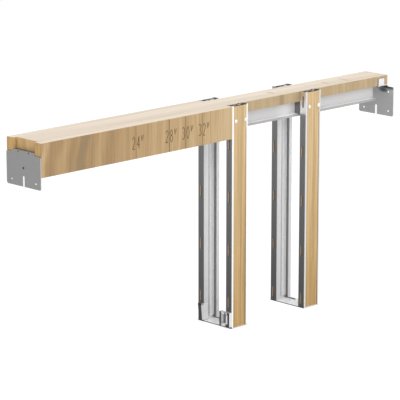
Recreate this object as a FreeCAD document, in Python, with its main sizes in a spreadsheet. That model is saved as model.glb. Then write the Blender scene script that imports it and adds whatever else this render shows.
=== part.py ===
import FreeCAD
import Part
import Sketcher
import math
import os

doc = FreeCAD.newDocument("pocketDoorFrame")

# Driving sizes in millimetres. X runs along the header, Y from the room side to the back, Z up.
sizes = {
    "wall_depth": 88.9, "inner_length": 912.0,
    "first_stud_x": 461.7, "second_stud_x": 659.9,
    "nailer_thick": 15.9, "nailer_tall": 60.3, "nailer_ease": 0.8,
    "core_thick": 19.0, "core_setback": 8.0, "core_end_gap": 0.3,
    "notch_from_plate": 8.5, "notch_long": 22.5, "notch_tall": 14.6,
    "plate_thick": 1.5, "plate_low": 21.5, "shoulder_drop": 4.3, "shoulder_round": 3.5, "plate_corner": 4.0,
    "plate_hole": 4.0, "plate_hole_inset": 13.0, "plate_hole_low": 9.5, "plate_hole_high": 10.7,
    "plate_slot_wide": 4.4, "plate_slot_tall": 19.0,
    "neck_wide": 56.0, "tongue_long": 28.0,
    "bend_notch_wide": 3.4, "bend_notch_tall": 3.2, "bend_notch_spread": 26.6,
    "ear_from_plate": 8.8, "ear_long": 17.0, "ear_tall": 13.7, "ear_inset": 0.5, "bend_radius": 1.2,
    "track_wide": 30.5, "track_tall": 28.8, "track_wall": 2.0, "track_flange": 8.0, "track_lip": 4.6,
    "track_slot": 11.0, "track_end_gap": 0.2,
    "stud_wide": 41.3, "stud_deep": 15.9, "stud_long": 420.7, "stud_rise": 0.5, "stud_sheet": 1.2,
    "stud_corner": 1.5, "stud_lip": 4.0, "groove_wide": 19.0, "groove_deep": 6.7,
    "slot_long": 22.5, "slot_wide": 4.6, "slot_in": 8.0,
    "first_slot_drop": 70.7, "first_slot_foot": 48.5, "first_slot_count": 4,
    "second_slot_drop": 19.8, "second_slot_foot": 16.9, "second_slot_count": 5,
    "strip_clear": 0.15, "strip_drop": 1.0,
    "clip_sheet": 1.5,
    "floor_sheet": 1.5, "floor_hole": 5.0, "floor_hole_spread": 26.0, "lug_wide": 16.0, "lug_tall": 5.0,
    "rib_in": 10.8, "rib_long": 21.0, "rib_tall": 2.0,
    "guide_sheet": 1.5, "guide_foot": 4.3,
    "front_guide_stand": 6.5, "front_guide_deep": 26.0, "front_guide_top": 31.5, "front_guide_leg": 9.0,
    "front_guide_rim": 4.5, "back_guide_stand": 9.4, "back_guide_lean": 3.0, "back_guide_wide": 18.7,
    "back_guide_deep": 8.5, "back_guide_top": 36.7,
}

# Sizes that follow from the driving ones.
derived = {
    "core_wide": "=wall_depth - 2 * nailer_thick",
    "core_long": "=inner_length - core_setback - core_end_gap",
    "nailer_z": "=floor_sheet + stud_long - stud_rise - nailer_tall",
    "core_z": "=nailer_z + nailer_tall - core_thick",
    "track_z": "=core_z - track_tall",
    "track_long": "=inner_length - 2 * (tongue_long + track_end_gap)",
    "tongue_wide": "=core_wide - 2 * ear_inset",
    "plate_tall": "=plate_low + nailer_tall - core_thick - shoulder_drop",
    "neck_top": "=core_z - nailer_z + plate_low",
    "clip_deep": "=(wall_depth - track_wide) / 2 - stud_deep",
    "clip_tall": "=track_tall - track_lip",
    "first_slot_pitch": "=(stud_long - first_slot_drop - first_slot_foot) / (first_slot_count - 1)",
    "second_slot_pitch": "=(stud_long - second_slot_drop - second_slot_foot) / (second_slot_count - 1)",
    "mid_x": "=inner_length / 2",
    "mid_y": "=wall_depth / 2",
}

sheet = doc.addObject("Spreadsheet::Sheet", "Sizes")
for row, (name, value) in enumerate(list(sizes.items()) + list(derived.items()), start=1):
    sheet.set("A%d" % row, name)
    sheet.set("B%d" % row, str(value))
    sheet.setAlias("B%d" % row, name)
doc.recompute()

subParts = []


def newBody(label):
    body = doc.addObject("PartDesign::Body", "Body")
    body.Label = label
    subParts.append(body)
    return body


def place(body, x, y, z, turned=False):
    turn = FreeCAD.Rotation(FreeCAD.Vector(0, 0, 1), 180 if turned else 0)
    body.Placement = FreeCAD.Placement(FreeCAD.Vector(), turn)
    for axis, words in (("x", x), ("y", y), ("z", z)):
        body.setExpression("Placement.Base." + axis, words)


def newSketch(body, plane, offset=None):
    sketch = body.newObject("Sketcher::SketchObject", "Sketch")
    role = plane + "_Plane"
    sketch.AttachmentSupport = [(p, "") for p in body.Origin.OriginFeatures if p.Role == role]
    sketch.MapMode = "FlatFace"
    if offset:
        sketch.setExpression("AttachmentOffset.Base.z", offset)
    return sketch


def drive(sketch, constraint, words):
    index = sketch.addConstraint(constraint)
    sketch.setExpression("Constraints[%d]" % index, words)


def pin(sketch, geo, point, axis, words):
    # A zero offset sits on the axis itself.
    if words is None:
        sketch.addConstraint(Sketcher.Constraint("PointOnObject", geo, point, -2 if axis == "X" else -1))
    else:
        drive(sketch, Sketcher.Constraint("Distance" + axis, -1, 1, geo, point, 1.0), words)


def polygon(sketch, points):
    first = sketch.GeometryCount
    count = len(points)
    for i in range(count):
        a, b = points[i], points[(i + 1) % count]
        sketch.addGeometry(Part.LineSegment(FreeCAD.Vector(*a, 0), FreeCAD.Vector(*b, 0)), False)
    for i in range(count):
        sketch.addConstraint(Sketcher.Constraint("Coincident", first + i, 2, first + (i + 1) % count, 1))
    return first


def rectangle(sketch, left, bottom, wide, tall):
    # left None starts on the axis, left "mid" centres the rectangle on it.
    g = polygon(sketch, [(1, 1), (2, 1), (2, 2), (1, 2)])
    for side, way in ((1, "Vertical"), (2, "Horizontal"), (3, "Vertical")):
        sketch.addConstraint(Sketcher.Constraint(way, g + side))
    drive(sketch, Sketcher.Constraint("DistanceX", g, 1, g, 2, 1.0), wide)
    drive(sketch, Sketcher.Constraint("DistanceY", g + 1, 1, g + 1, 2, 1.0), tall)
    if left == "mid":
        sketch.addConstraint(Sketcher.Constraint("Symmetric", g, 1, g, 2, -2))
    else:
        sketch.addConstraint(Sketcher.Constraint("Horizontal", g))
        pin(sketch, g, 1, "X", left)
    pin(sketch, g, 1, "Y", bottom)
    return g


def circle(sketch, x, y, across):
    g = sketch.addGeometry(Part.Circle(FreeCAD.Vector(1, 1, 0), FreeCAD.Vector(0, 0, 1), 1), False)
    drive(sketch, Sketcher.Constraint("Diameter", g, 1.0), across)
    pin(sketch, g, 3, "X", x)
    pin(sketch, g, 3, "Y", y)


def pad(body, sketch, length, back=False):
    feature = body.newObject("PartDesign::Pad", "Pad")
    feature.Profile = sketch
    feature.Reversed = back
    feature.setExpression("Length", length)
    doc.recompute()
    return feature


def pocket(body, sketch, depth=None, back=False):
    feature = body.newObject("PartDesign::Pocket", "Pocket")
    feature.Profile = sketch
    feature.Reversed = back
    if depth is None:
        feature.Type = "ThroughAll"
    else:
        feature.setExpression("Length", depth)
    doc.recompute()
    return feature


def edgesAlong(feature, axis, keep):
    names = []
    for i, edge in enumerate(feature.Shape.Edges, start=1):
        if len(edge.Vertexes) == 2:
            a, b = edge.Vertexes[0].Point, edge.Vertexes[1].Point
            run = (b - a).normalize()
            middle = (a + b) / 2
            if near(abs(run.dot(axis)), 1) and keep(middle):
                names.append("Edge%d" % i)
    return names


def fillet(body, feature, names, radius):
    rounded = body.newObject("PartDesign::Fillet", "Fillet")
    rounded.Base = (feature, names)
    rounded.setExpression("Radius", radius)
    doc.recompute()
    return rounded


alongX, alongY, alongZ = FreeCAD.Vector(1, 0, 0), FreeCAD.Vector(0, 1, 0), FreeCAD.Vector(0, 0, 1)
halfTurn = math.pi
closeTo = 0.01


def near(a, b):
    return abs(a - b) < closeTo


def headerCore():
    body = newBody("header_core")
    board = newSketch(body, "XY")
    rectangle(board, None, None, "Sizes.core_long", "Sizes.core_wide")
    pad(body, board, "Sizes.core_thick")
    # Side notches that take the upturned ears of the end brackets; the left ones are open to the core's end.
    notches = newSketch(body, "XY")
    deep = "Sizes.ear_inset + Sizes.plate_thick"
    backSide = "Sizes.core_wide - Sizes.ear_inset - Sizes.plate_thick"
    leftLong = "Sizes.notch_from_plate + Sizes.notch_long - Sizes.core_setback"
    rightStart = "Sizes.core_long + Sizes.core_end_gap - Sizes.notch_from_plate - Sizes.notch_long"
    for start, run in ((None, leftLong), (rightStart, "Sizes.notch_long")):
        rectangle(notches, start, None, run, deep)
        rectangle(notches, start, backSide, run, deep)
    pocket(body, notches, "Sizes.notch_tall", back=True)
    place(body, "Sizes.core_setback - Sizes.mid_x", "Sizes.nailer_thick - Sizes.mid_y", "Sizes.core_z")


def nailer(label, turned):
    body = newBody(label)
    board = newSketch(body, "XY")
    rectangle(board, "mid", None, "Sizes.first_stud_x", "Sizes.nailer_thick")
    block = pad(body, board, "Sizes.nailer_tall")
    outer = edgesAlong(block, alongX, lambda p: near(p.y, 0))
    fillet(body, block, outer, "Sizes.nailer_ease")
    y = "Sizes.mid_y" if turned else "-Sizes.mid_y"
    place(body, "Sizes.first_stud_x / 2 - Sizes.mid_x", y, "Sizes.nailer_z", turned)


def track():
    body = newBody("track")
    box = newSketch(body, "YZ")
    rectangle(box, "mid", None, "Sizes.track_wide", "Sizes.track_tall")
    pad(body, box, "Sizes.track_long")
    # Side flanges with turned-down lips.
    ledges = newSketch(body, "YZ")
    rectangle(ledges, "mid", None, "Sizes.track_wide + 2 * Sizes.track_flange", "Sizes.track_lip")
    pad(body, ledges, "Sizes.track_long")
    hollow = newSketch(body, "YZ")
    rectangle(hollow, "mid", "Sizes.track_lip", "Sizes.track_wide - 2 * Sizes.track_wall",
              "Sizes.track_tall - Sizes.track_lip - Sizes.track_wall")
    pocket(body, hollow, back=True)
    under = newSketch(body, "YZ")
    rectangle(under, "mid", None, "Sizes.track_wide + 2 * Sizes.track_flange - 2 * Sizes.track_wall",
              "Sizes.track_lip - Sizes.track_wall")
    pocket(body, under, back=True)
    # The hanger bolts travel in the open slot under the box.
    slot = newSketch(body, "YZ")
    rectangle(slot, "mid", None, "Sizes.track_slot", "Sizes.track_lip")
    pocket(body, slot, back=True)
    place(body, "-Sizes.track_long / 2", "0 mm", "Sizes.track_z")


def endBracket(label, turned):
    body = newBody(label)
    plate = newSketch(body, "YZ")
    rectangle(plate, "mid", None, "Sizes.wall_depth", "Sizes.plate_tall")
    flat = pad(body, plate, "Sizes.plate_thick", back=True)
    corners = edgesAlong(flat, alongX, lambda p: True)
    fillet(body, flat, corners, "Sizes.plate_corner")
    neck = newSketch(body, "YZ")
    rectangle(neck, "mid", None, "Sizes.neck_wide", "Sizes.neck_top")
    shield = pad(body, neck, "Sizes.plate_thick", back=True)
    plateTop, neckTop = float(sheet.get("plate_tall")), float(sheet.get("neck_top"))
    inner = edgesAlong(shield, alongX, lambda p: near(p.z, plateTop) and near(abs(p.y), sizes["neck_wide"] / 2))
    fillet(body, shield, inner, "Sizes.shoulder_round")
    # The tongue lies under the header core, and its ears stand in the core's side notches.
    tongue = newSketch(body, "YZ")
    rectangle(tongue, "mid", "Sizes.neck_top - Sizes.plate_thick", "Sizes.tongue_wide", "Sizes.plate_thick")
    pad(body, tongue, "Sizes.tongue_long")
    ears = newSketch(body, "YZ", "Sizes.ear_from_plate")
    earLow = "Sizes.neck_top - Sizes.plate_thick"
    earTall = "Sizes.ear_tall + Sizes.plate_thick"
    rectangle(ears, "Sizes.tongue_wide / 2 - Sizes.plate_thick", earLow, "Sizes.plate_thick", earTall)
    rectangle(ears, "-Sizes.tongue_wide / 2", earLow, "Sizes.plate_thick", earTall)
    whole = pad(body, ears, "Sizes.ear_long")
    bend = edgesAlong(whole, alongY, lambda p: near(p.x, -sizes["plate_thick"]) and near(p.z, neckTop))
    fillet(body, whole, bend, "Sizes.bend_radius")
    holes = newSketch(body, "YZ")
    across = "Sizes.wall_depth / 2 - Sizes.plate_hole_inset"
    for y in (across, "-(%s)" % across):
        circle(holes, y, "Sizes.plate_hole_low", "Sizes.plate_hole")
        circle(holes, y, "Sizes.plate_tall - Sizes.plate_hole_high", "Sizes.plate_hole")
    pocket(body, holes, "Sizes.plate_thick")
    # Relief notches in the bend.
    relief = newSketch(body, "YZ")
    for middle in ("Sizes.bend_notch_spread / 2", "-Sizes.bend_notch_spread / 2"):
        rectangle(relief, middle + " - Sizes.bend_notch_wide / 2", "Sizes.neck_top - Sizes.bend_notch_tall",
                  "Sizes.bend_notch_wide", "Sizes.bend_notch_tall")
    pocket(body, relief, "Sizes.plate_thick")
    slot = newSketch(body, "YZ")
    rectangle(slot, "mid", None, "Sizes.plate_slot_wide", "Sizes.plate_slot_tall - Sizes.plate_slot_wide / 2")
    pocket(body, slot, "Sizes.plate_thick")
    slotEnd = newSketch(body, "YZ")
    circle(slotEnd, None, "Sizes.plate_slot_tall - Sizes.plate_slot_wide / 2", "Sizes.plate_slot_wide")
    pocket(body, slotEnd, "Sizes.plate_thick")
    x = "Sizes.mid_x" if turned else "-Sizes.mid_x"
    place(body, x, "0 mm", "Sizes.nailer_z - Sizes.plate_low", turned)


def slotSketch(body, offset, pair):
    sketch = newSketch(body, "YZ", offset)
    half, straight = sizes["slot_wide"] / 2, sizes["slot_long"] - sizes["slot_wide"]
    low = sizes["stud_long"] - sizes[pair + "_slot_drop"] - straight / 2
    high, centre = low + straight, sizes["slot_in"]
    lower = Part.ArcOfCircle(Part.Circle(FreeCAD.Vector(centre, low, 0), alongZ, half), halfTurn, 2 * halfTurn)
    upper = Part.ArcOfCircle(Part.Circle(FreeCAD.Vector(centre, high, 0), alongZ, half), 0, halfTurn)
    right = Part.LineSegment(FreeCAD.Vector(centre + half, low, 0), FreeCAD.Vector(centre + half, high, 0))
    left = Part.LineSegment(FreeCAD.Vector(centre - half, high, 0), FreeCAD.Vector(centre - half, low, 0))
    for shape in (lower, right, upper, left):
        sketch.addGeometry(shape, False)
    for a, b in ((0, 1), (1, 2), (2, 3), (3, 0)):
        sketch.addConstraint(Sketcher.Constraint("Tangent", a, 2, b, 1))
    sketch.addConstraint(Sketcher.Constraint("Vertical", 1))
    sketch.addConstraint(Sketcher.Constraint("Equal", 0, 2))
    drive(sketch, Sketcher.Constraint("Radius", 0, half), "Sizes.slot_wide / 2")
    drive(sketch, Sketcher.Constraint("DistanceY", 1, 1, 1, 2, straight), "Sizes.slot_long - Sizes.slot_wide")
    drive(sketch, Sketcher.Constraint("DistanceX", -1, 1, 0, 3, centre), "Sizes.slot_in")
    drive(sketch, Sketcher.Constraint("DistanceY", -1, 1, 0, 3, low),
          "Sizes.stud_long - Sizes.%s_slot_drop - (Sizes.slot_long - Sizes.slot_wide) / 2" % pair)
    return sketch


def studChannel(label, pair, turned):
    body = newBody(label)
    outer = newSketch(body, "XY")
    rectangle(outer, "mid", None, "Sizes.stud_wide", "Sizes.stud_deep")
    block = pad(body, outer, "Sizes.stud_long")
    rounded = fillet(body, block, edgesAlong(block, alongZ, lambda p: True), "Sizes.stud_corner")
    cavity = newSketch(body, "XY")
    rectangle(cavity, "mid", "Sizes.stud_sheet", "Sizes.stud_wide - 2 * Sizes.stud_sheet",
              "Sizes.stud_deep - 2 * Sizes.stud_sheet")
    tube = pocket(body, cavity, back=True)
    inside = sizes["stud_wide"] / 2 - sizes["stud_sheet"]
    inner = edgesAlong(tube, alongZ, lambda p: near(abs(p.x), inside))
    fillet(body, tube, inner, "Sizes.stud_corner - Sizes.stud_sheet")
    # The long groove down the pocket side stiffens the sheet.
    ridge = newSketch(body, "XY")
    rectangle(ridge, "mid", "Sizes.stud_deep - Sizes.groove_deep - Sizes.stud_sheet",
              "Sizes.groove_wide + 2 * Sizes.stud_sheet", "Sizes.groove_deep + Sizes.stud_sheet")
    pad(body, ridge, "Sizes.stud_long")
    groove = newSketch(body, "XY")
    rectangle(groove, "mid", "Sizes.stud_deep - Sizes.groove_deep", "Sizes.groove_wide", "Sizes.groove_deep")
    pocket(body, groove, back=True)
    mouth = newSketch(body, "XY")
    rectangle(mouth, "mid", None, "Sizes.stud_wide - 2 * Sizes.stud_lip", "Sizes.stud_sheet")
    pocket(body, mouth, back=True)
    for side, back in (("-Sizes.stud_wide / 2", True), ("Sizes.stud_wide / 2", False)):
        cut = pocket(body, slotSketch(body, side, pair), "2 * Sizes.stud_sheet", back)
        row = body.newObject("PartDesign::LinearPattern", "SlotRow")
        row.Originals = [cut]
        row.Direction = (cut.Profile[0], ["V_Axis"])
        row.Reversed = True
        row.setExpression("Occurrences", "Sizes.%s_slot_count" % pair)
        row.setExpression("Length", "Sizes.%s_slot_pitch * (Sizes.%s_slot_count - 1)" % (pair, pair))
        body.Tip = row
        doc.recompute()
    placeStud(body, pair, turned, "Sizes.floor_sheet")


def placeStud(body, pair, turned, z):
    y = "Sizes.mid_y" if turned else "-Sizes.mid_y"
    place(body, "Sizes.%s_stud_x + Sizes.stud_wide / 2 - Sizes.mid_x" % pair, y, z, turned)


def studStrip(label, pair, turned):
    body = newBody(label)
    strip = newSketch(body, "XY")
    rectangle(strip, "mid", "Sizes.stud_sheet", "Sizes.stud_wide - 2 * Sizes.stud_sheet - 2 * Sizes.strip_clear",
              "Sizes.stud_deep - 2 * Sizes.stud_sheet")
    block = pad(body, strip, "Sizes.stud_long - Sizes.strip_drop")
    fillet(body, block, edgesAlong(block, alongZ, lambda p: True), "Sizes.stud_corner - Sizes.stud_sheet")
    relief = newSketch(body, "XY")
    rectangle(relief, "mid", "Sizes.stud_deep - Sizes.groove_deep - Sizes.stud_sheet",
              "Sizes.groove_wide + 2 * Sizes.stud_sheet + 2 * Sizes.strip_clear", "Sizes.groove_deep")
    pocket(body, relief, back=True)
    placeStud(body, pair, turned, "Sizes.floor_sheet")


def studClip(label, pair, turned):
    body = newBody(label)
    outer = newSketch(body, "XY")
    rectangle(outer, "mid", "Sizes.stud_deep", "Sizes.stud_wide", "Sizes.clip_deep")
    pad(body, outer, "Sizes.clip_tall")
    inner = newSketch(body, "XY")
    rectangle(inner, "mid", "Sizes.stud_deep + Sizes.clip_sheet", "Sizes.stud_wide - 2 * Sizes.clip_sheet",
              "Sizes.clip_deep - 2 * Sizes.clip_sheet")
    pocket(body, inner, back=True)
    placeStud(body, pair, turned, "Sizes.track_z + Sizes.track_lip")


def floorPlate(label, pair):
    body = newBody(label)
    plate = newSketch(body, "XY")
    rectangle(plate, "mid", None, "Sizes.stud_wide", "Sizes.wall_depth")
    pad(body, plate, "Sizes.floor_sheet")
    # Bent-up lugs lie against the floor of each stud's groove, and a low rib stiffens the plate.
    lugs = newSketch(body, "XY", "Sizes.floor_sheet")
    rectangle(lugs, "mid", "Sizes.stud_deep - Sizes.groove_deep", "Sizes.lug_wide", "Sizes.floor_sheet")
    rectangle(lugs, "mid", "Sizes.wall_depth - Sizes.stud_deep + Sizes.groove_deep - Sizes.floor_sheet",
              "Sizes.lug_wide", "Sizes.floor_sheet")
    pad(body, lugs, "Sizes.lug_tall")
    rib = newSketch(body, "XY", "Sizes.floor_sheet")
    rectangle(rib, "Sizes.rib_in", "Sizes.wall_depth - Sizes.stud_deep - Sizes.rib_long", "Sizes.floor_sheet",
              "Sizes.rib_long")
    pad(body, rib, "Sizes.rib_tall")
    holes = newSketch(body, "XY")
    for sign in ("+", "-"):
        circle(holes, None, "Sizes.wall_depth / 2 %s Sizes.floor_hole_spread / 2" % sign, "Sizes.floor_hole")
    pocket(body, holes, back=True)
    placeStud(body, pair, False, "0 mm")


def frontDoorGuide():
    # A bent sheet box beside the stud, with a window on the door's side of the opening.
    body = newBody("front_door_guide")
    tall = "Sizes.front_guide_top - Sizes.guide_foot"
    side = newSketch(body, "YZ")
    rectangle(side, None, "Sizes.guide_foot", "Sizes.front_guide_deep", tall)
    pad(body, side, "Sizes.guide_sheet")
    top = newSketch(body, "XY", "Sizes.front_guide_top - Sizes.guide_sheet")
    rectangle(top, None, None, "Sizes.front_guide_stand", "Sizes.front_guide_deep")
    pad(body, top, "Sizes.guide_sheet")
    returns = newSketch(body, "XY", "Sizes.guide_foot")
    rectangle(returns, None, None, "Sizes.front_guide_stand", "Sizes.guide_sheet")
    rectangle(returns, None, "Sizes.front_guide_deep - Sizes.guide_sheet", "Sizes.front_guide_leg",
              "Sizes.guide_sheet")
    pad(body, returns, tall)
    window = newSketch(body, "YZ")
    rectangle(window, "Sizes.front_guide_rim", "Sizes.guide_foot + Sizes.front_guide_rim",
              "Sizes.front_guide_deep - 2 * Sizes.front_guide_rim", tall + " - 2 * Sizes.front_guide_rim")
    pocket(body, window, "Sizes.guide_sheet", back=True)
    place(body, "Sizes.first_stud_x - Sizes.front_guide_stand - Sizes.mid_x", "-Sizes.mid_y", "0 mm")


def leaningPlate(sketch, wide, far):
    # Its left edge leans towards the stud at the foot.
    lean, foot, top = sizes["back_guide_lean"], sizes["guide_foot"], sizes["back_guide_top"]
    g = polygon(sketch, [(lean, foot), (lean + far, foot), (far, top), (0, top)])
    for line in (0, 2):
        sketch.addConstraint(Sketcher.Constraint("Horizontal", g + line))
    pin(sketch, g, 1, "X", "Sizes.back_guide_lean")
    pin(sketch, g, 1, "Y", "Sizes.guide_foot")
    pin(sketch, g, 2, "X", wide[0])
    pin(sketch, g + 2, 1, "X", wide[1])
    pin(sketch, g + 3, 1, "X", None)
    pin(sketch, g + 3, 1, "Y", "Sizes.back_guide_top")


def backDoorGuide():
    # An angle: one leg lies on the stud's web, the other stands beside the stud.
    body = newBody("back_door_guide")
    face = newSketch(body, "XZ", "Sizes.stud_deep")
    leaningPlate(face, ("Sizes.back_guide_wide", "Sizes.back_guide_wide"), sizes["back_guide_wide"])
    pad(body, face, "Sizes.guide_sheet")
    side = newSketch(body, "XZ", "Sizes.stud_deep + Sizes.guide_sheet - Sizes.back_guide_deep")
    leaningPlate(side, ("Sizes.back_guide_lean + Sizes.guide_sheet", "Sizes.guide_sheet"), sizes["guide_sheet"])
    pad(body, side, "Sizes.back_guide_deep")
    place(body, "Sizes.first_stud_x - Sizes.back_guide_stand - Sizes.mid_x", "Sizes.mid_y", "0 mm")


headerCore()
nailer("front_nailer", False)
nailer("back_nailer", True)
track()
endBracket("left_end_bracket", False)
endBracket("right_end_bracket", True)
for pair in ("first", "second"):
    for side, turned in (("front", False), ("back", True)):
        studChannel("%s_%s_stud_channel" % (pair, side), pair, turned)
        studStrip("%s_%s_stud_strip" % (pair, side), pair, turned)
        studClip("%s_%s_stud_clip" % (pair, side), pair, turned)
    floorPlate("%s_floor_plate" % pair, pair)
frontDoorGuide()
backDoorGuide()
doc.recompute()

os.makedirs("parts", exist_ok=True)
for item in doc.Objects:
    if "Invalid" in item.State or "Error" in item.State:
        raise RuntimeError("%s is not built: %s" % (item.Label, item.State))
for body in subParts:
    shape = body.Shape
    if shape.isNull() or not shape.isValid() or len(shape.Solids) != 1:
        raise RuntimeError("%s is not one sound solid" % body.Label)
    shape.exportStep("parts/%s.step" % body.Label)
    box = shape.BoundBox
    print("%s volume %.0f, x %.1f..%.1f, y %.1f..%.1f, z %.1f..%.1f" % (
        body.Label, shape.Volume, box.XMin, box.XMax, box.YMin, box.YMax, box.ZMin, box.ZMax))
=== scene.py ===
from math import cos, radians, sin

import bmesh
import bpy
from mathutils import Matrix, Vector


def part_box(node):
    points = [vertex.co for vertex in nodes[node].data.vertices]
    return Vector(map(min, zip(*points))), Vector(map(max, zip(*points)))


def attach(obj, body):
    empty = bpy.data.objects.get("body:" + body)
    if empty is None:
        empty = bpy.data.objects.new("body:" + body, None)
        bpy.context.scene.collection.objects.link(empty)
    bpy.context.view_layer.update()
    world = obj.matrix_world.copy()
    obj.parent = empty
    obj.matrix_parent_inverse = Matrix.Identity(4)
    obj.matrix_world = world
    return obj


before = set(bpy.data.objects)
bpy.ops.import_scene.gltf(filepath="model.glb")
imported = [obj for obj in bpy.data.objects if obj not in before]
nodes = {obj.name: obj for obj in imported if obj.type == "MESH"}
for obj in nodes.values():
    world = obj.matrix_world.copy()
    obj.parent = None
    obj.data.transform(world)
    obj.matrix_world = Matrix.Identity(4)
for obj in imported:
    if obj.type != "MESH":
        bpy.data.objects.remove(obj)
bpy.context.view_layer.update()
scene = bpy.context.scene
mm = 0.001
print("frame loaded,", len(nodes), "nodes")


# a socket that takes part in Python expressions
class Field:
    def __init__(self, tree, socket=None):
        self.tree = tree
        self.socket = socket

    def make(self, kind, settings=None, sockets=None, out=0):
        node = self.tree.nodes.new(kind)
        for key, value in (settings or {}).items():
            setattr(node, key, value)
        for key, value in (sockets or {}).items():
            for each in value if isinstance(value, list) else [value]:  # a list goes to one socket, in its order
                if isinstance(each, Field):
                    self.tree.links.new(each.socket, node.inputs[key])
                else:
                    node.inputs[key].default_value = each
        return Field(self.tree, node.outputs[out] if node.outputs else None)

    def maths(self, kind, first, second=0.0):
        return self.make("ShaderNodeMath", {"operation": kind}, {0: first, 1: second})

    def __add__(self, other):
        return self.maths("ADD", self, other)

    def __radd__(self, other):
        return self.maths("ADD", other, self)

    def __sub__(self, other):
        return self.maths("SUBTRACT", self, other)

    def __rsub__(self, other):
        return self.maths("SUBTRACT", other, self)

    def __mul__(self, other):
        return self.maths("MULTIPLY", self, other)

    def __rmul__(self, other):
        return self.maths("MULTIPLY", other, self)

    def __truediv__(self, other):
        return self.maths("DIVIDE", self, other)

    def __gt__(self, other):
        return self.maths("GREATER_THAN", self, other)

    def __lt__(self, other):
        return self.maths("LESS_THAN", self, other)

    def __abs__(self):
        return self.maths("ABSOLUTE", self)

    def both(self, other):  # either mask, at most 1
        return self.maths("MAXIMUM", self, other)

    def least(self, other):
        return self.maths("MINIMUM", self, other)

    def ease(self, low, high):  # 0 to 1 between two values
        return self.make("ShaderNodeMapRange", {"interpolation_type": "SMOOTHSTEP"},
                         {"Value": self, "From Min": low, "From Max": high})

    def between(self, low, high):  # low where this is 0, high where it is 1
        return low + self * (high - low)

    def split(self):
        parts = self.tree.nodes.new("ShaderNodeSeparateXYZ")
        self.tree.links.new(self.socket, parts.inputs[0])
        return [Field(self.tree, each) for each in parts.outputs]

    def point(self, x, y, z):
        return self.make("ShaderNodeCombineXYZ", None, {0: x, 1: y, 2: z})

    def noise(self, place, scale=1.0, detail=2.0, roughness=0.5):  # around 0
        return self.make("ShaderNodeTexNoise", None,
                         {"Vector": place, "Scale": scale, "Detail": detail, "Roughness": roughness}) - 0.5

    def grain(self, place, stretch, detail=2.0, roughness=0.5):  # noise with a scale for each axis
        scaled = [axis * scale for axis, scale in zip(place, stretch)]
        return self.noise(self.point(*scaled), 1.0, detail, roughness)

    def blend(self, first, second):  # colours, with this value as the factor
        return self.make("ShaderNodeMix", {"data_type": "RGBA"}, {0: self, 6: first, 7: second}, 2)

    def ramp(self, places, colours):
        made = self.make("ShaderNodeValToRGB", None, {0: self})
        points = made.socket.node.color_ramp.elements
        while len(points) > 1:
            points.remove(points[-1])
        points[0].position = places[0]
        for place in places[1:]:
            points.new(place)
        for point, colour in zip(points, colours):
            point.color = colour
        return made


def linear(red, green, blue):  # a colour as seen on screen, 0 to 255
    values = [each / 255 for each in (red, green, blue)]
    return (*[v / 12.92 if v <= 0.04045 else ((v + 0.055) / 1.055) ** 2.4 for v in values], 1.0)


def shades(tones):
    return {key: linear(*value) for key, value in tones.items()}


def newMaterial(name, fixed):
    material = bpy.data.materials.new(name)
    material.use_nodes = True
    shader = material.node_tree.nodes["Principled BSDF"]
    for key, value in fixed.items():
        shader.inputs[key].default_value = value
    return material, shader, Field(material.node_tree)


def surface(tree):  # where a point lies on its piece, and which way its face looks
    place = tree.make("ShaderNodeTexCoord", None, None, "Object")
    facing = tree.make("ShaderNodeNewGeometry", None, None, "Normal")
    return place, facing.split()


def bump(tree, height, look):
    return tree.make("ShaderNodeBump", None,
                     {"Strength": look["bumpStrength"], "Distance": look["bumpDepth"], "Height": height})


def plug(shader, values):
    for key, value in values.items():
        value.tree.links.new(value.socket, shader.inputs[key])


square = 0.7  # from here a face counts as looking along an axis
turned = (0.55, 0.85)  # the same with a soft change


def woodGrain(tree, look, place):  # noise layers over a slightly bent place, and their weighted sum
    bend = tree.grain(place, **look["bend"])
    bent = (place[0] + bend * look["bendWide"], *place[1:])
    layers = {key: tree.grain(bent, **figure) for key, figure in look["layers"].items()}
    layers.update(bend=bend, fibre=tree.grain(place, **look["fibre"]))
    return layers, sum(layers[key] * weight for key, weight in look["weights"].items())


# header boards: soft upright bands on the long faces, long streaks on top
headerPine = {
    "tones": {"topTan": (203, 185, 162), "topPale": (220, 206, 188), "knot": (160, 128, 96)}, "ior": 1.45,
    "endLayer": 3.1, "topLayer": 7.7, "deepLayer": 30.0,
    "bend": {"stretch": (8.0, 7.0, 1.0), "detail": 1.0}, "bendWide": 0.02, "bendLean": 0.008,
    "layers": {"broad": {"stretch": (34.0, 1.5, 1.0), "detail": 1.0}, "band": {"stretch": (120.0, 3.0, 1.0)},
               "streak": {"stretch": (420.0, 6.0, 1.0)}},
    "fibre": {"stretch": (1500.0, 30.0, 1.0)},
    "weights": {"broad": 0.16, "band": 0.18, "streak": 0.28, "fibre": 0.22},
    "frontFrom": -20.0 * mm, "offFront": 0.3, "swayOver": (0.375, 0.425), "swayMiddle": 0.25,
    "bandEdge": (0.2, 1.4), "sideStops": (0.3, 0.42, 0.55, 0.67),
    "topStart": 0.5, "topTilt": 1.7, "topBroad": 0.3, "topBand": 0.55, "topStops": (0.36, 0.62),
    "endStart": 0.52, "endGrain": 2.2, "endBand": 0.3, "endStops": (0.3, 0.68),
    "recessHalf": 29.5 * mm, "recessEnd": -0.44, "knotDepth": 0.6, "knotStreak": 0.8, "knotEdge": (0.1, 1.0),
    "roughness": 0.38, "fibreRough": 0.25, "endRough": 0.25,
    "fibreBump": 0.6, "streakBump": 0.4, "bumpStrength": 0.35, "bumpDepth": 0.12 * mm,
}
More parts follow.
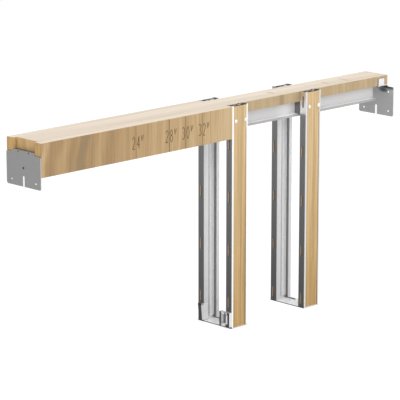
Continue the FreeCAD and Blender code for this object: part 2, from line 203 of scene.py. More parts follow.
# bands: place along the board, half width, lighter or darker; knots: place and half sizes along and across
nailerFigure = {
    "tones": {"grey": (148, 125, 90), "brown": (168, 136, 94), "tan": (184, 153, 110), "pale": (202, 176, 135),
              "endBrown": (182, 143, 90), "endPale": (222, 184, 126)},
    "shift": 0.0, "start": 0.612, "drift": 0.36, "sway": 0.010,
    "bands": ((-0.450, 0.0075, 0.13), (-0.431, 0.016, -0.09), (-0.407, 0.010, 0.08), (-0.386, 0.008, -0.08),
              (-0.3625, 0.012, -0.24), (-0.340, 0.010, -0.06), (-0.322, 0.013, 0.02), (-0.297, 0.016, -0.07),
              (-0.111, 0.010, -0.03), (-0.075, 0.011, -0.06), (-0.024, 0.014, 0.05)),
    "knots": (),
}
# the core's end tones are lighter than the nailers': painted light against the shade of its set-back end
coreFigure = {
    "tones": {"grey": (150, 130, 98), "brown": (168, 146, 110), "tan": (184, 160, 124), "pale": (200, 178, 142),
              "endBrown": (202, 163, 107), "endPale": (232, 195, 141)},
    "shift": 12.4, "start": 0.55, "drift": 0.0, "sway": 0.0,
    "bands": ((0.1537, 0.008, -0.16),),
    "knots": ((0.1552, 0.002, 0.0045, 0.0135), (0.3556, -0.004, 0.0045, 0.019), (0.3035, -0.002, 0.0045, 0.0135)),
}


def makeHeaderPine(name, figure):
    look = headerPine
    tone = shades({**look["tones"], **figure["tones"]})
    material, shader, tree = newMaterial(name, {"IOR": look["ior"]})
    place, facing = surface(tree)
    x, y, z = place.split()
    onEnd, onTop = abs(facing[0]) > square, abs(facing[2]) > square
    onSide = 1 - onEnd.both(onTop)
    onFront = y < look["frontFrom"]
    across = x * onSide + y * (1 - onSide)
    along = z * (1 - onTop) + x * onTop
    layer = onEnd * look["endLayer"] + onTop * look["topLayer"] + y * onSide * look["deepLayer"] + figure["shift"]
    layers, grain = woodGrain(tree, look, (across, along, layer))
    bend, broad, band, streak, fibre = (layers[key] for key in ("bend", "broad", "band", "streak", "fibre"))
    leaning = x - (z.ease(*look["swayOver"]) - look["swayMiddle"]) * figure["sway"] + bend * look["bendLean"]
    value = figure["start"] + x * figure["drift"] + grain + broad * (1 - onFront) * look["offFront"]
    near, far = look["bandEdge"]
    for middle, half, amount in figure["bands"]:  # seen on the front
        value = value + (1 - abs(leaning - middle).ease(half * near, half * far)) * onFront * amount
    side = value.ramp(look["sideStops"], [tone[key] for key in ("grey", "brown", "tan", "pale")])
    topValue = look["topStart"] + y * look["topTilt"] + grain + broad * look["topBroad"] + band * look["topBand"]
    top = topValue.ramp(look["topStops"], [tone["topTan"], tone["topPale"]])
    endValue = grain * look["endGrain"] + band * look["endBand"] + look["endStart"]
    end = endValue.ramp(look["endStops"], [tone["endBrown"], tone["endPale"]])
    # painted light: the nailers' inner faces beside the core's set-back end take the lighter end-grain colour against
    # their shade
    inRecess = onSide * (abs(y) < look["recessHalf"]) * (x < look["recessEnd"])
    colour = onEnd.both(inRecess).blend(onTop.blend(side, top), end)
    for knotX, knotY, halfX, halfY in figure["knots"]:
        alongKnot, acrossKnot = (x - knotX) / halfX, (y - knotY) / halfY
        away = alongKnot * alongKnot + acrossKnot * acrossKnot + streak * look["knotStreak"]
        colour = ((1 - away.ease(*look["knotEdge"])) * onTop * look["knotDepth"]).blend(colour, tone["knot"])
    rough = look["roughness"] + fibre * look["fibreRough"] + onEnd * look["endRough"]
    height = fibre * look["fibreBump"] + streak * look["streakBump"]
    plug(shader, {"Base Color": colour, "Roughness": rough, "Normal": bump(tree, height, look)})
    return material


# strips inside the studs: long upright grain; painted top light, paler at the top and darker and warmer towards the
# foot; painted shade on the flanks seen through the slots and on the top end
studPine = {
    "tones": {"highPale": (222, 193, 148), "highTan": (194, 165, 118), "lowPale": (200, 164, 107),
              "lowTan": (162, 128, 74), "shaded": (124, 96, 56), "shadedTop": (50, 43, 36)}, "ior": 1.45,
    "bend": {"stretch": (20.0, 20.0, 3.0)}, "bendWide": 0.006,
    "layers": {"broad": {"stretch": (110.0, 90.0, 2.0), "detail": 1.0},
               "streak": {"stretch": (420.0, 420.0, 6.0), "detail": 3.0, "roughness": 0.6}},
    "fibre": {"stretch": (1500.0, 1500.0, 25.0)}, "weights": {"broad": 0.7, "streak": 0.8, "fibre": 0.25},
    "start": 0.5, "stops": (0.35, 0.62), "paintedLightOver": (-0.02, 0.42),
    "roughness": 0.45, "shadedTopRough": 0.5, "fibreRough": 0.25,
    "streakBump": 0.5, "fibreBump": 0.5, "bumpStrength": 0.3, "bumpDepth": 0.1 * mm,
}


def makeStudPine(name):
    look = studPine
    tone = shades(look["tones"])
    material, shader, tree = newMaterial(name, {"IOR": look["ior"]})
    place, facing = surface(tree)
    x, y, z = place.split()
    layers, grain = woodGrain(tree, look, (x, y, z))
    value = look["start"] + grain
    high = value.ramp(look["stops"], [tone["highTan"], tone["highPale"]])
    low = value.ramp(look["stops"], [tone["lowTan"], tone["lowPale"]])
    onFlank, onTop = abs(facing[0]) > square, abs(facing[2]) > square
    # painted light and shade: paler towards the top, and the flanks in painted shade
    colour = onFlank.blend(z.ease(*look["paintedLightOver"]).blend(low, high), tone["shaded"])
    # painted shade on the top end, for the hollow top of the channel
    colour = onTop.blend(colour, tone["shadedTop"])
    rough = look["roughness"] + onTop * look["shadedTopRough"] + layers["fibre"] * look["fibreRough"]
    height = layers["streak"] * look["streakBump"] + layers["fibre"] * look["fibreBump"]
    plug(shader, {"Base Color": colour, "Roughness": rough, "Normal": bump(tree, height, look)})
    return material


# zinc-coated sheet: faint spangle and rolling lines; shine by the way a face looks, and painted light and shade in
# levels set by the way a face looks
zincGrain = {
    "spangleScale": 260.0, "cloudScale": 22.0, "cloudDetail": 3.0, "scuff": {"stretch": (300.0, 300.0, 18.0)},
    "cloudShine": 0.04, "cloudRough": 0.1, "scuffRough": 0.08, "scuffBump": 0.5, "spangleMiddle": 0.5,
    "blue": 1.005, "bumpStrength": 0.06, "bumpDepth": 0.2 * mm,
}
zincSheet = {
    "stud": {"base": 0.755, "side": 0.46, "up": 0.1, "shine": 0.05, "sideShine": 1.0, "roughness": 0.3,
             "upRough": 0.6, "spangle": 0.02, "offSide": 0.15},
    "bracket": {"base": 0.9, "side": 0.69, "up": 0.22, "shine": 0.75, "sideShine": 0.75, "roughness": 0.32,
                "upRough": 0.0, "spangle": 0.02, "offSide": 0.45},
    "foot": {"base": 0.66, "side": 0.1, "up": 1.0, "shine": 0.05, "sideShine": 1.0, "roughness": 0.25,
             "upRough": 0.0, "spangle": 0.02, "offSide": 0.0},
    "guide": {"base": 0.8, "side": 0.2, "up": 0.55, "shine": 0.2, "sideShine": 1.0, "roughness": 0.3,
              "upRough": 0.0, "spangle": 0.03, "offSide": 0.0},
    "screw": {"base": 1.0, "side": 0.98, "up": 1.0, "shine": 0.1, "sideShine": 0.1, "roughness": 0.25,
              "upRough": 0.0, "spangle": 0.02, "offSide": 0.1},
    "slide": {"base": 0.8, "side": 0.22, "up": 0.8, "shine": 0.2, "sideShine": 0.6, "roughness": 0.35,
              "upRough": 0.0, "spangle": 0.02, "offSide": 0.0},
    "rivet": {"base": 0.12, "side": 0.08, "up": 0.12, "shine": 0.5, "sideShine": 0.5, "roughness": 0.5,
              "upRough": 0.0, "spangle": 0.1, "offSide": 0.0},
    "clip": {"base": 0.24, "side": 0.2, "up": 0.1, "shine": 0.5, "sideShine": 0.5, "roughness": 0.5,
             "upRough": 0.4, "spangle": 0.35, "offSide": 0.1},
}
# painted light and shade on the stud sheet: bright lips, lighter towards the top, painted light by the track and on
# the groove floor, painted shade on the groove wall, beside the groove and in a line on its floor
studPaintedLight = {
    "lip": 1.0, "secondLip": 0.28, "lipReach": (41.5 * mm, 43.0 * mm), "webFoot": 0.88, "webTop": 1.16,
    "sideFoot": 0.55, "sideTop": 1.35, "atTrack": 0.98, "trackFoot": (3.0 * mm, 7.0 * mm),
    "groove": (10.2 * mm, 11.2 * mm), "wall": 0.2, "wallFloor": 0.85, "wallDeep": (31.3 * mm, 32.7 * mm),
    "bendFrom": 9.4 * mm, "bend": (11.9 * mm, 13.0 * mm), "bendShade": 0.8,
    "lineAt": -1.0 * mm, "lineHalf": 2.8 * mm, "lineCore": 0.5, "lineShade": 0.34,
    "floorLight": (-2.0 * mm, 6.0 * mm), "floorGain": 0.6,
    "polishOver": (1.0 * mm, 6.0 * mm), "polishFoot": 0.1, "polishTop": 0.6,
}
# painted light and shade on the end plates
platePaintedLight = {
    "paintedLightGain": 0.16, "shadowAt": (-18.5 * mm, 390.8 * mm), "shadowReach": (14.0 * mm, 6.0 * mm), "paintedShadow": 0.8,
    "shadowEdge": (0.05, 1.0), "edge": (390.5 * mm, 397.0 * mm), "edgeShade": 0.95, "nearDarker": 0.35,
}
# painted light on the guide's cross bars and painted shade in its upper corner
guidePaintedLight = {
    "low": 8.8 * mm, "lowClear": (-34.5 * mm, -23.0 * mm), "high": 27.0 * mm, "highClear": (-31.3 * mm, -23.0 * mm),
    "soft": 2.2 * mm, "level": 0.95, "dull": 0.85,
    "cornerX": (0.0, 6.0 * mm), "cornerZ": (31.0 * mm, 35.5 * mm), "cornerShade": 0.6,
}


def middleX(name):
    low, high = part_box(name)
    return (low.x + high.x) / 2


# painted light and shade on the stud sheet
def paintStudLight(x, y, z, onSide, level):  # levels along the stud's height, in its groove and on its lips
    look = studPaintedLight
    first, second = [middleX(pair + "_front_stud_channel") for pair in ("first", "second")]
    onSecond = x > (first + second) / 2
    past = x - first - onSecond * (second - first)
    onWeb = 1 - onSide
    inGroove = 1 - abs(past).ease(*look["groove"])
    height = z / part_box("first_front_stud_channel")[1].z
    web = height.between(look["webFoot"], look["webTop"])
    flange = height.between(look["sideFoot"], look["sideTop"])
    half = look["lineHalf"]
    line = (1 - abs(past - look["lineAt"]).ease(half * look["lineCore"], half)) * onWeb * look["lineShade"]
    paintedLightGain = onWeb * inGroove * past.ease(*look["floorLight"]) * look["floorGain"]
    level = (level * onSide.between(web, flange) * (1 - line) * (1 + paintedLightGain)).least(1.0)
    byTrack = (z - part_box("track")[0].z).ease(*look["trackFoot"])
    level = (onSide * byTrack).between(level, look["atTrack"])
    wall = abs(y).ease(*look["wallDeep"]).between(look["wall"], look["wallFloor"])
    level = (onSide * inGroove).between(level, wall)
    bend = (past > look["bendFrom"]) * (1 - past.ease(*look["bend"]))
    level = level * (1 - onWeb * bend * look["bendShade"])
    lip = look["lip"] - onSecond * look["secondLip"]
    level = (abs(y).ease(*look["lipReach"]) * onWeb).between(level, lip)
    polish = height.between(look["polishFoot"], look["polishTop"])
    return level, onWeb * inGroove * (1 - past.ease(*look["polishOver"])) * polish


def paintPlateLight(x, y, z, facing, level):  # the near plate darker on faces looking forward or back; on the far plate a painted lighter inside, a painted soft shadow and a painted dark top edge
    look = platePaintedLight
    inward, onFront = facing[0] < -turned[0], abs(facing[1]) > turned[0]
    aside, up = [(axis - at) / reach for axis, at, reach in zip((y, z), look["shadowAt"], look["shadowReach"])]
    # painted soft shadow on the far plate, and painted shade along its top edge
    paintedShadow = 1 - (aside * aside + up * up).ease(*look["shadowEdge"])
    paintedShadow = (paintedShadow * look["paintedShadow"]).both(z.ease(*look["edge"]) * (y < 0.0) * look["edgeShade"])
    # painted light on the far plate's inside
    farPlate = 1 + (x > 0.0) * inward * (look["paintedLightGain"] - paintedShadow)
    return level * farPlate * (1 - (x < 0.0) * onFront * look["nearDarker"])


def paintGuideLight(x, y, z, onSide, level, shine):  # painted light on the cross bars and painted shade in the upper corner; the uprights keep their level
    look = guidePaintedLight
    lit = []
    for clear in (look["lowClear"], look["highClear"]):
        rise, fall = [y.ease(place - look["soft"], place + look["soft"]) for place in clear]
        lit.append(rise * (1 - fall))
    bars = ((z < look["low"]) * lit[0]).both((z > look["high"]) * lit[1]) * onSide
    inCorner = (1 - x.ease(*look["cornerX"])) * z.ease(*look["cornerZ"])
    level = bars.between(level, look["level"]) * (1 - inCorner * look["cornerShade"])
    return level, shine - bars * look["dull"]


def makeZinc(name):
    look, fine = zincSheet[name], zincGrain
    material, shader, tree = newMaterial(name + "Zinc", {})
    place, facing = surface(tree)
    x, y, z = place.split()
    cells = {"Vector": place, "Scale": fine["spangleScale"]}
    spangle = tree.make("ShaderNodeTexVoronoi", {"feature": "F1"}, cells, "Color")
    flake = tree.make("ShaderNodeSeparateColor", None, {0: spangle})
    cloud = tree.noise(place, fine["cloudScale"], fine["cloudDetail"])
    scuff = tree.grain((x, y, z), **fine["scuff"])
    onSide, onTop = abs(facing[0]).ease(*turned), abs(facing[2]).ease(*turned)
    # painted light and shade: faces looking sideways or up get their own level
    level = look["base"] + onSide * (look["side"] - look["base"]) + onTop * (look["up"] - look["base"])
    shine = onSide.between(look["shine"], look["sideShine"]) + cloud * fine["cloudShine"]
    if name == "stud":
        level, polish = paintStudLight(x, y, z, onSide, level)
        shine = shine + polish
    if name == "bracket":
        level = paintPlateLight(x, y, z, facing, level)
    if name == "guide":
        level, shine = paintGuideLight(x, y, z, onSide, level, shine)
    # painted shade on faces looking towards +x
    level = level * (1 - facing[0].ease(*turned) * look["offSide"])
    value = level * (1 + (flake + cloud - fine["spangleMiddle"]) * look["spangle"])
    grey = tree.make("ShaderNodeCombineColor", None, {0: value, 1: value, 2: value * fine["blue"]})
    rough = look["roughness"] + onTop * look["upRough"] + cloud * fine["cloudRough"] + scuff * fine["scuffRough"]
    height = scuff * fine["scuffBump"] + cloud
    plug(shader, {"Base Color": grey, "Roughness": rough, "Metallic": shine, "Normal": bump(tree, height, fine)})
    return material


# extruded track: satin, with fine lines along its length; painted shade on the lip and towards the right end, painted
# light on the ledge and near the clip
satinTrack = {
    "base": 0.66, "lip": 0.42, "lipIn": (1.5 * mm, 0.5 * mm), "ledge": 0.97, "roughness": 0.4, "metallic": 0.12,
    "lines": {"stretch": (3.0, 1800.0, 1800.0), "roughness": 0.6}, "lineLevel": 0.05, "lineRough": 0.15,
    "cloud": {"stretch": (8.0, 60.0, 60.0)}, "cloudLevel": 0.03, "blue": 1.01,
    "clipOut": 12.0 * mm, "clipReach": 50.0 * mm, "clipGlow": 0.35, "endFade": (0.405, 0.45), "endShade": 0.45,
    "bumpStrength": 0.15, "bumpDepth": 0.05 * mm,
}


def makeTrackAluminium(name):
    look = satinTrack
    material, shader, tree = newMaterial(name, {"Metallic": look["metallic"]})
    place, facing = surface(tree)
    x, y, z = place.split()
    lines = tree.grain((x, y, z), **look["lines"])
    cloud = tree.grain((x, y, z), **look["cloud"])
    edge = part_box("track")[1].y
    onLip = abs(y).ease(*[edge - inset for inset in look["lipIn"]]) * abs(facing[1])
    onLedge = abs(facing[2])
    # painted light and shade: the lip darker and the ledge lighter than the face
    level = look["base"] + onLip * (look["lip"] - look["base"]) + onLedge * (look["ledge"] - look["base"])
    # painted shade on the ledge and the lip towards the right end
    level = level * (1 - x.ease(*look["endFade"]) * onLedge.both(onLip) * look["endShade"])
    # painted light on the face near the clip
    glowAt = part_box("second_front_stud_clip")[0].x - look["clipOut"]
    nearClip = 1 - abs(x - glowAt).ease(0.0, look["clipReach"])
    value = level * (1 + nearClip * look["clipGlow"]) + lines * look["lineLevel"] + cloud * look["cloudLevel"]
    grey = tree.make("ShaderNodeCombineColor", None, {0: value, 1: value, 2: value * look["blue"]})
    rough = look["roughness"] + lines * look["lineRough"]
    plug(shader, {"Base Color": grey, "Roughness": rough, "Normal": bump(tree, lines, look)})
    return material


def dress(material, *names):
    for name in names:
        data = nodes[name].data
        data.materials.clear()
        data.materials.append(material)


studNames = [f"{pair}_{side}_stud" for pair in ("first", "second") for side in ("front", "back")]
zinc = {name: makeZinc(name) for name in zincSheet}
dress(makeHeaderPine("nailerPine", nailerFigure), "front_nailer", "back_nailer")
dress(makeHeaderPine("corePine", coreFigure), "header_core")
dress(makeStudPine("stripPine"), *[stud + "_strip" for stud in studNames])
dress(zinc["stud"], *[stud + "_channel" for stud in studNames])
dress(zinc["clip"], *[stud + "_clip" for stud in studNames])
dress(zinc["bracket"], "left_end_bracket", "right_end_bracket")
dress(zinc["foot"], "first_floor_plate", "second_floor_plate")
dress(zinc["guide"], "front_door_guide", "back_door_guide")
dress(makeTrackAluminium("trackSatin"), "track")
print("materials on", len(nodes), "nodes")


def keepPiece(name, mesh):
    piece = bpy.data.objects.new(name, mesh)
    scene.collection.objects.link(piece)
    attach(piece, "root")
    print(name, len(mesh.polygons), "faces")


# Geometry Nodes: a tree from named sizes, and a plain mesh from what it makes
def newTree(name, sizes):
    group = bpy.data.node_groups.new(name, "GeometryNodeTree")
    group.interface.new_socket("Geometry", in_out="INPUT", socket_type="NodeSocketGeometry")
    for key in sizes:
        group.interface.new_socket(key, in_out="INPUT", socket_type="NodeSocketFloat")
    group.interface.new_socket("Geometry", in_out="OUTPUT", socket_type="NodeSocketGeometry")
    given = group.nodes.new("NodeGroupInput").outputs
    return Field(group), {key: Field(group, given[key]) for key in ("Geometry", *sizes)}


def finishTree(tree, geometry, material):
    real = tree.make("GeometryNodeRealizeInstances", None, {0: geometry})
    painted = tree.make("GeometryNodeSetMaterial", None, {"Geometry": real, "Material": material})
    tree.make("NodeGroupOutput", None, {0: painted})


def growPiece(name, seeds, tree, sizes):
    source = bpy.data.objects.new(name + "Seeds", seeds)
    scene.collection.objects.link(source)
    modifier = source.modifiers.new("grow", "NODES")
    modifier.node_group = tree.tree
    for item in tree.tree.interface.items_tree:
        if item.in_out == "INPUT" and item.name in sizes:
            modifier[item.identifier] = sizes[item.name]
    evaluated = source.evaluated_get(bpy.context.evaluated_depsgraph_get())
    mesh = bpy.data.meshes.new_from_object(evaluated)
    bpy.data.objects.remove(source)
    keepPiece(name, mesh)


# small heads: pan heads on the studs, flush nails and a rivet on the end plates, a screw on the front guide
headKinds = {
    "panHead": {"Head Width": 7.0 * mm, "Head Height": 2.2 * mm, "Recess Width": 1.0 * mm,
                "Recess Reach": 3.6 * mm},
    "guideScrew": {"Head Width": 3.6 * mm, "Head Height": 1.1 * mm, "Recess Width": 0.6 * mm,
                   "Recess Reach": 2.0 * mm},
    "nailHead": {"Head Width": 5.2 * mm, "Head Height": 0.35 * mm, "Dimple Width": 1.0 * mm},
    "rivet": {"Head Width": 4.2 * mm, "Head Height": 0.8 * mm, "Dimple Width": 1.6 * mm},
}
headRound = {"Segments": 20, "Rings": 12, "Radius": 1.0}
headPlaces = {"studScrewsIn": (9.6 * mm, 35.2 * mm), "studScrewsDown": 29.2 * mm, "nailsOut": 31.45 * mm,
              "nailsUp": 47.5 * mm, "rivetUp": 33.0 * mm, "guideScrew": (-36.4 * mm, 29.4 * mm)}
outward = {"front": (radians(90), 0, 0), "back": (radians(-90), 0, 0), "left": (0, radians(-90), 0),
           "right": (0, radians(90), 0)}


def growHeads(name, kind, spots, side, material):
    sizes = headKinds[kind]
    tree, size = newTree(name, sizes)
    tall, half = size["Head Height"], size["Head Width"] * 0.5
    ball = tree.make("GeometryNodeMeshUVSphere", None, headRound)
    dome = tree.make("GeometryNodeTransform", None, {"Geometry": ball, "Scale": tree.point(half, half, tall)})
    if "Dimple Width" in sizes:
        dent = tree.point(size["Dimple Width"], size["Dimple Width"], tall)
        tools = [tree.make("GeometryNodeTransform", None, {"Geometry": ball, "Scale": dent})]
    else:
        wide, reach = size["Recess Width"], size["Recess Reach"]
        tools = [tree.make("GeometryNodeMeshCube", None, {"Size": tree.point(*arm, tall)})
                 for arm in ((reach, wide), (wide, reach))]
    lift = tree.point(0.0, 0.0, tall)
    moved = [tree.make("GeometryNodeTransform", None, {"Geometry": tool, "Translation": lift}) for tool in tools]
    cut = tree.make("GeometryNodeMeshBoolean", {"operation": "DIFFERENCE"}, {"Mesh 1": dome, "Mesh 2": moved}, "Mesh")
    spread = tree.make("GeometryNodeInstanceOnPoints", None,
                       {"Points": size["Geometry"], "Instance": cut, "Rotation": outward[side]})
    finishTree(tree, spread, material)
    seeds = bpy.data.meshes.new(name + "Spots")
    seeds.from_pydata(spots, [], [])
    growPiece(name, seeds, tree, sizes)


def studScrewSpots(side):
    spots = []
    for stud in studNames:
        if side in stud:
            low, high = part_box(stud + "_channel")
            face = low.y if side == "front" else high.y
            level = high.z - headPlaces["studScrewsDown"]
            spots += [(low.x + reach, face, level) for reach in headPlaces["studScrewsIn"]]
    return spots


def makeHeads():
    for side in ("front", "back"):
        growHeads(side + "StudScrews", "panHead", studScrewSpots(side), side, zinc["screw"])
    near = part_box("left_end_bracket")[0]
    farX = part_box("right_end_bracket")[1].x
    nails = [(near.x, way * headPlaces["nailsOut"], near.z + headPlaces["nailsUp"]) for way in (-1, 1)]
    growHeads("leftPlateNails", "nailHead", nails, "left", zinc["bracket"])
    rivetZ = near.z + headPlaces["rivetUp"]
    growHeads("leftPlateRivet", "rivet", [(near.x, 0.0, rivetZ)], "left", zinc["rivet"])
    growHeads("rightPlateRivet", "rivet", [(farX, 0.0, rivetZ)], "right", zinc["rivet"])
    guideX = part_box("front_door_guide")[0].x
    growHeads("guideScrew", "guideScrew", [(guideX, *headPlaces["guideScrew"])], "left", zinc["screw"])


makeHeads()


# curved steel slide inside the front guide's window, with an upright rib in the screws' white as a painted highlight;
# in millimetres
guideSlide = {
    "start": (0.9, -23.2), "turn": (5.0, -29.0), "end": (5.0, -39.6), "pull": 0.55, "low": 9.0, "high": 26.8,
    "sheet": 0.5, "ribAt": -36.1, "ribWide": 4.2, "ribTip": 0.8, "ribOut": 4.6, "steps": 12,
}


def closedRun(shape, near, far, low, high, finish):  # a closed strip between two lines, from low to high
    rings = []
    for first, second in zip(near, far):
        rings.append([shape.verts.new((x * mm, y * mm, z * mm))
                      for (x, y), z in ((first, low), (second, low), (second, high), (first, high))])
    faces = [shape.faces.new(rings[0]), shape.faces.new(rings[-1])]
    for one, two in zip(rings, rings[1:]):
        for here, following in ((0, 1), (1, 2), (2, 3), (3, 0)):
            faces.append(shape.faces.new((one[here], one[following], two[following], two[here])))
    for face in faces:
        face.material_index = finish


def makeGuideSlide():
    look = guideSlide
    (x0, y0), (x1, y1) = look["start"], look["turn"]
    pull = y0 - (y0 - y1) * look["pull"]
    path = []
    for step in range(look["steps"] + 1):  # a bend that eases into the flat part
        t = step / look["steps"]
        x = (1 - t) ** 2 * x0 + (2 * t - t * t) * x1
        y = (1 - t) ** 2 * y0 + 2 * t * (1 - t) * pull + t * t * y1
        path.append((x, y))
    path.append(look["end"])
    shape = bmesh.new()
    closedRun(shape, path, [(x + look["sheet"], y) for x, y in path], look["low"], look["high"], 0)
    half = look["ribWide"] / 2
    tip = half * look["ribTip"]
    root, out = x1 + look["sheet"] / 2, x1 - look["ribOut"]
    closedRun(shape, [(root, look["ribAt"] - half), (out, look["ribAt"] - tip)],
              [(root, look["ribAt"] + half), (out, look["ribAt"] + tip)], look["low"], look["high"], 1)
    bmesh.ops.recalc_face_normals(shape, faces=shape.faces)
    mesh = bpy.data.meshes.new("guideSlide")
    shape.to_mesh(mesh)
    shape.free()
    mesh.materials.append(zinc["slide"])
    # the rib in the screws' white: a painted highlight
    mesh.materials.append(zinc["screw"])
    keepPiece("guideSlide", mesh)


makeGuideSlide()


# inch marks on the front board: a line over the full height and thin drawn numerals
markSizes = {"Stroke Width": 1.4 * mm, "Stroke Depth": 0.12 * mm}
markPlan = {
    "lines": {"24": 220.6 * mm, "28": 301.6 * mm, "30": 342.8 * mm, "32": 384.1 * mm}, "clear": 0.8 * mm,
    "digitTall": 21.5 * mm, "digitWide": 5.5 * mm, "digitGap": 5.5 * mm, "foot": 18.3 * mm, "tickTall": 11.0 * mm,
    "tickRise": 1.0 * mm,
}
# their brown stain, with two of the long lines fainter
markStain = {
    "tones": {"dark": (86, 64, 34), "light": (116, 90, 54), "worn": (150, 123, 84)}, "roughness": 0.6,
    "blot": {"stretch": (700.0, 700.0, 160.0), "detail": 3.0}, "start": 0.5, "stops": (0.35, 0.65),
    "worn": ("24", "30"), "wornHalf": 1.2 * mm, "wear": 0.6,
}


def makeMarkStain(name):
    look = markStain
    tone = shades(look["tones"])
    material, shader, tree = newMaterial(name, {"Roughness": look["roughness"]})
    x, y, z = surface(tree)[0].split()
    blot = look["start"] + tree.grain((x, y, z), **look["blot"])
    colour = blot.ramp(look["stops"], [tone["dark"], tone["light"]])
    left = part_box("front_nailer")[0].x
    for label in look["worn"]:
        onLine = abs(x - left - markPlan["lines"][label]) < look["wornHalf"]
        colour = (onLine * look["wear"]).blend(colour, tone["worn"])
    plug(shader, {"Base Color": colour})
    return material


def bow(middle, reach, start, end, steps=14):  # part of an ellipse, in degrees
    turns = [radians(start + (end - start) * step / steps) for step in range(steps + 1)]
    return [(middle[0] + reach[0] * cos(turn), middle[1] + reach[1] * sin(turn)) for turn in turns]


# strokes in a box one wide and one tall
digitStrokes = {
    "0": [bow((0.5, 0.5), (0.5, 0.5), 90, 450, 28)],
    "2": [bow((0.5, 0.72), (0.5, 0.28), 170, -30) + [(0.0, 0.0)], [(0.0, 0.0), (1.0, 0.0)]],
    "3": [bow((0.46, 0.76), (0.46, 0.24), 150, -90), bow((0.46, 0.27), (0.52, 0.27), 90, -150)],
    "4": [[(0.75, 0.0), (0.75, 1.0)], [(0.75, 1.0), (0.0, 0.3)], [(0.0, 0.3), (1.1, 0.3)]],
    "8": [bow((0.5, 0.76), (0.42, 0.24), 0, 360, 24), bow((0.5, 0.26), (0.5, 0.26), 0, 360, 24)],
    "inch": [[(-0.12, 1.0), (0.12, 0.0)], [(0.68, 1.0), (0.4, 0.3)]],
}


def makeMarks():
    tree, size = newTree("boardMarks", markSizes)
    path = tree.make("GeometryNodeMeshToCurve", None, {"Mesh": size["Geometry"]})
    bar = tree.make("GeometryNodeCurvePrimitiveQuadrilateral", {"mode": "RECTANGLE"},
                    {"Width": size["Stroke Depth"], "Height": size["Stroke Width"]})
    steady = tree.make("GeometryNodeSetCurveNormal", {"mode": "FREE"}, {"Curve": path, "Normal": (0.0, -1.0, 0.0)})
    ribbon = tree.make("GeometryNodeCurveToMesh", None, {"Curve": steady, "Profile Curve": bar, "Fill Caps": True})
    finishTree(tree, ribbon, makeMarkStain("markBrown"))
    low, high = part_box("front_nailer")
    points, edges = [], []

    def stroke(line):
        first = len(points)
        points.extend((across, low.y, up) for across, up in line)
        edges.extend((first + step, first + step + 1) for step in range(len(line) - 1))

    tall, wide, gap = markPlan["digitTall"], markPlan["digitWide"], markPlan["digitGap"]
    foot = low.z + markPlan["foot"]
    tickFoot = foot + tall - markPlan["tickTall"] + markPlan["tickRise"]
    for label, reach in markPlan["lines"].items():
        middle = low.x + reach
        stroke([(middle, low.z + markPlan["clear"]), (middle, high.z - markPlan["clear"])])
        left = middle - wide - gap / 2
        for digit in label:
            for line in digitStrokes[digit]:
                stroke([(left + across * wide, foot + up * tall) for across, up in line])
            left += wide + gap
        for line in digitStrokes["inch"]:
            stroke([(left + across * wide, tickFoot + up * markPlan["tickTall"]) for across, up in line])
    seeds = bpy.data.meshes.new("markPaths")
    seeds.from_pydata(points, edges, [])
    growPiece("inchMarks", seeds, tree, markSizes)


makeMarks()

# white floor that keeps a soft shadow, and a white surround for the eye and for the metal
stageLook = {"floorHalf": 40.0, "floorTone": 0.8, "shadowShare": 0.3, "white": 0.815, "fill": 0.62}


def plainGrey(level):
    return (level, level, level, 1.0)


def emptyTree(owner):
    owner.use_nodes = True
    owner.node_tree.nodes.clear()
    return Field(owner.node_tree)


def seenByEye(tree):  # straight, and in a mirror or through glass
    rays = tree.tree.nodes.new("ShaderNodeLightPath").outputs
    camera, glossy, through = [Field(tree.tree, rays["Is " + kind + " Ray"])
                               for kind in ("Camera", "Glossy", "Transmission")]
    return camera, glossy.both(through)


def quad(name, corners):
    mesh = bpy.data.meshes.new(name)
    mesh.from_pydata(corners, [], [tuple(range(len(corners)))])
    item = bpy.data.objects.new(name, mesh)
    scene.collection.objects.link(item)
    return item


def makeFloor():
    reach = stageLook["floorHalf"]
    floor = quad("paleFloor", [(-reach, -reach, 0), (reach, -reach, 0), (reach, reach, 0), (-reach, reach, 0)])
    material = bpy.data.materials.new("paleFloor")
    tree = emptyTree(material)
    camera, mirror = seenByEye(tree)
    plain = tree.make("ShaderNodeBsdfDiffuse", None, {"Color": plainGrey(stageLook["floorTone"])})
    catch = tree.make("ShaderNodeBsdfDiffuse", None, {"Color": plainGrey(stageLook["shadowShare"])})
    glow = tree.make("ShaderNodeEmission", None, {"Strength": stageLook["white"]})
    pale = tree.make("ShaderNodeAddShader", None, {0: catch, 1: glow})
    white = tree.make("ShaderNodeEmission", None, {"Strength": 1.0})
    forEye = tree.make("ShaderNodeMixShader", None, {0: camera, 1: plain, 2: pale})
    forAll = tree.make("ShaderNodeMixShader", None, {0: mirror, 1: forEye, 2: white})
    tree.make("ShaderNodeOutputMaterial", None, {"Surface": forAll})
    floor.data.materials.append(material)


def makeSurround():
    world = bpy.data.worlds.new("whiteSurround")
    tree = emptyTree(world)
    camera, mirror = seenByEye(tree)
    seen = tree.make("ShaderNodeBackground", None, {"Strength": 1.0})
    light = tree.make("ShaderNodeBackground", None, {"Strength": stageLook["fill"]})
    both = tree.make("ShaderNodeMixShader", None, {0: camera.both(mirror), 1: light, 2: seen})
    tree.make("ShaderNodeOutputWorld", None, {"Surface": both})
    scene.world = world


# dark cards behind on the left, seen only in the metal
darkCard = {"shade": 0.3, "left": -1.6, "right": 0.2039, "near": -0.05, "far": 1.6, "tall": 0.9, "lift": 0.6 * mm}


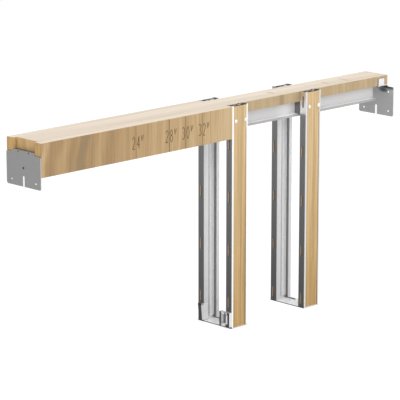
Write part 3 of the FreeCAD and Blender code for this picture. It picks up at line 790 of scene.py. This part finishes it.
def makeDarkCards():
    left, right, near, far, tall, lift = (darkCard[key] for key in ("left", "right", "near", "far", "tall", "lift"))
    material = bpy.data.materials.new("darkCard")
    tree = emptyTree(material)
    shade = tree.make("ShaderNodeEmission", None, {"Color": plainGrey(darkCard["shade"]), "Strength": 1.0})
    tree.make("ShaderNodeOutputMaterial", None, {"Surface": shade})
    cards = [
        quad("darkCardLow", [(left, near, lift), (right, near, lift), (right, far, lift), (left, far, lift)]),
        quad("darkCardBack", [(left, near, 0), (left, near, tall), (right, far, tall), (right, far, 0)]),
    ]
    for card in cards:
        card.data.materials.append(material)
        card.visible_camera = card.visible_diffuse = card.visible_shadow = False
        card.visible_transmission = card.visible_volume_scatter = False


# soft boxes, aimed at the middle of the frame
lampAim = Vector((0, 0, 0.25))
lampPlan = {
    "frontLeft": {"at": (-2.2, -2.6, 2.6), "size": 2.2, "power": 50.0},
    "frontRight": {"at": (2.4, -2.4, 1.4), "size": 2.0, "power": 30.0},
    "above": {"at": (0.3, -0.2, 3.4), "size": 2.6, "power": 58.0},
}


def makeLamps():
    for name, look in lampPlan.items():
        lamp = bpy.data.lights.new(name, "AREA")
        lamp.size = look["size"]
        lamp.energy = look["power"]
        item = bpy.data.objects.new(name, lamp)
        item.location = look["at"]
        item.rotation_euler = (lampAim - item.location).to_track_quat("-Z", "Y").to_euler()
        item.visible_glossy = False  # the metal mirrors the surround alone
        scene.collection.objects.link(item)


# the photograph's eye point: a long lens from the front left, a little above
eye = {"at": (-3.0048, -2.99165, 1.2422), "tilt": 76.711, "turn": -44.807, "lens": 211.85, "sensor": 36.0,
       "clip": 200.0}


def makeEye():
    camera = bpy.data.cameras.new("eye")
    camera.sensor_width = eye["sensor"]
    camera.lens = eye["lens"]
    camera.clip_end = eye["clip"]
    item = bpy.data.objects.new("eye", camera)
    item.location = eye["at"]
    item.rotation_euler = (radians(eye["tilt"]), 0.0, radians(eye["turn"]))
    scene.collection.objects.link(item)
    scene.camera = item


makeFloor()
makeSurround()
makeDarkCards()
makeLamps()
makeEye()
scene.view_settings.view_transform = "Standard"
print("stage, lamps and eye set")
